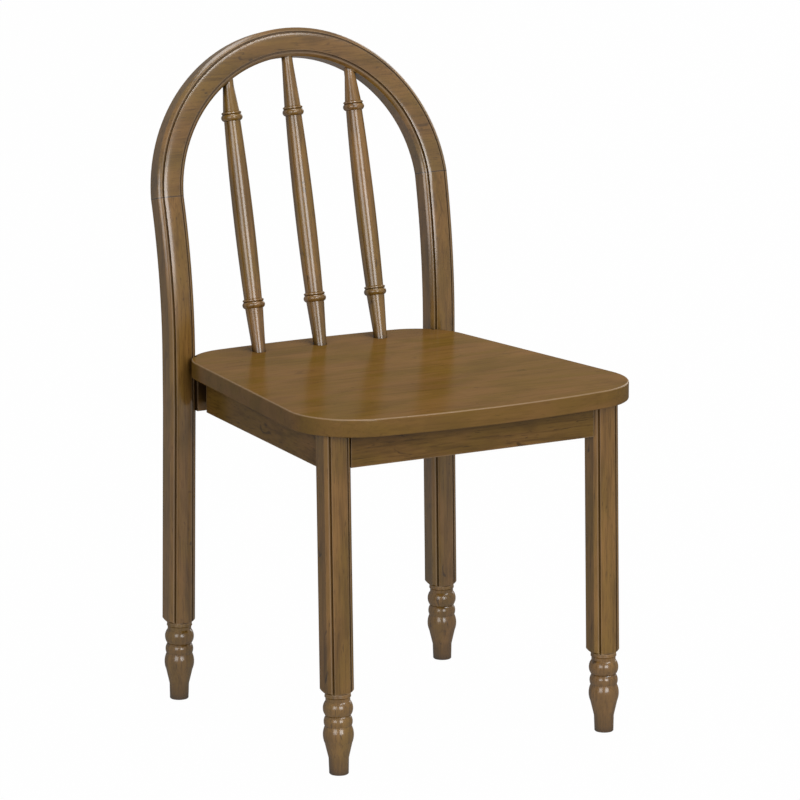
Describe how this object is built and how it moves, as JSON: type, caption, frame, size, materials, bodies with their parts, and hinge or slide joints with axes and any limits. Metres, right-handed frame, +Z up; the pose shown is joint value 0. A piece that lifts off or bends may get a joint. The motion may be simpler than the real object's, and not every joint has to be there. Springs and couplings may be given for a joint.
{
  "type": "kids chair",
  "caption": "Child's wooden side chair with a round bow back, turned spindles, groove-moulded legs on turned feet, aprons and a solid seat that narrows to the rear.",
  "frame": {"origin": "on the floor, under the middle of the whole chair's bounding box", "axes": "+Z up, -Y towards the front of the chair, +X to the right as seen from in front; node names use right and left as seen from in front"},
  "size_m": [0.4164, 0.4898, 0.7578],
  "materials": {
    "seat_wood": "satin",
    "apron_wood": "satin",
    "leg_wood": "satin",
    "bow_wood": "satin",
    "turned_wood": "satin",
    "block_wood": "bare",
    "dowel_wood": "bare",
    "screw_steel": "plain"
  },
  "bodies": {
    "root": {"seat": "seat_wood", "front_apron": "apron_wood", "rear_apron": "apron_wood", "right_side_apron": "apron_wood", "left_side_apron": "apron_wood", "front_right_leg": "leg_wood", "front_left_leg": "leg_wood", "rear_right_post": "leg_wood", "rear_left_post": "leg_wood", "front_right_foot": "turned_wood", "front_left_foot": "turned_wood", "rear_right_foot": "turned_wood", "rear_left_foot": "turned_wood", "bow": "bow_wood", "left_spindle": "turned_wood", "centre_spindle": "turned_wood", "right_spindle": "turned_wood", "front_right_block": "block_wood", "front_left_block": "block_wood", "rear_right_block": "block_wood", "rear_left_block": "block_wood", "apron_dowels": "dowel_wood", "bow_dowels": "dowel_wood", "block_screws": "screw_steel", "seat_screws": "screw_steel"}
  },
  "joints": []
}
